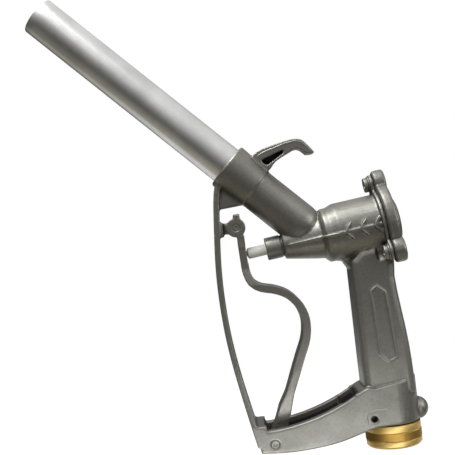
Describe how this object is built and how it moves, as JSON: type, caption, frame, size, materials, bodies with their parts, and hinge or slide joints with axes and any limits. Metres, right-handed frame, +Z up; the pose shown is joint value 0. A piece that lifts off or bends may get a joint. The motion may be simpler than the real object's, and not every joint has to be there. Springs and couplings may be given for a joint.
{
  "type": "fuel nozzle",
  "caption": "Hand-operated fuel nozzle: straight spout tube, cast pistol body with guard loop, squeeze lever, poppet valve and brass hose swivel.",
  "frame": {"origin": "centre of the hose inlet face, the open end of the brass swivel", "axes": "+Z up the inlet axis from hose to body, +X from the guard towards the grip (the spout points to -X and +Z), +Y across the casting"},
  "size_m": [0.2549, 0.058, 0.342],
  "materials": {
    "cast_aluminium": "shot-blasted grey casting",
    "drawn_aluminium": "satin drawn tube",
    "brass": "machined, lightly polished",
    "steel": "plain plated steel",
    "nylon": "natural white nylon",
    "rubber": "black nitrile rubber"
  },
  "bodies": {
    "casting": {"body_casting": "cast_aluminium", "spout_tube": "drawn_aluminium", "spout_seal_ring": "rubber", "spout_set_screw": "steel", "gland_nut": "cast_aluminium", "stem_bush": "brass", "stem_o_ring_outer": "rubber", "stem_o_ring_inner": "rubber", "valve_seat_ring": "brass", "valve_spring": "steel", "rear_cover": "cast_aluminium", "cover_o_ring": "rubber", "cover_screw_top": "steel", "cover_washer_top": "steel", "cover_screw_near": "steel", "cover_washer_near": "steel", "cover_screw_far": "steel", "cover_washer_far": "steel", "trigger_pivot_pin": "steel", "pivot_sleeve": "nylon", "swivel_lock_pin": "steel", "rail_cross_pin": "steel"},
    "lever": {"trigger_lever": "cast_aluminium"},
    "stem": {"push_rod": "nylon", "valve_stem": "steel", "seal_retainer": "brass", "poppet_seal": "rubber", "valve_poppet": "brass", "poppet_nut": "steel"},
    "swivel": {"hose_swivel": "brass", "hose_washer": "rubber", "inlet_strainer": "steel", "swivel_o_ring": "rubber"}
  },
  "joints": [
    {"name": "lever_pivot", "type": "hinge", "parent": "casting", "child": "lever", "pos_m": [-0.0953, 0, 0.1657], "axis": [0, -1, 0], "range_deg": [0, 18], "stiffness_Nm_per_rad": 1, "springref_deg": -28.65},
    {"name": "stem_slide", "type": "slide", "parent": "casting", "child": "stem", "axis": [0.9935, 0, 0.1141], "range_m": [0, 0.0069], "deforming": ["valve_spring"]},
    {"name": "swivel_turn", "type": "hinge", "parent": "casting", "child": "swivel", "pos_m": [0, 0, 0.016], "axis": [0, 0, 1], "continuous": true}
  ],
  "couplings": [
    {"joint": "stem_slide", "follows": "lever_pivot", "m_per_rad": 0.02125}
  ]
}
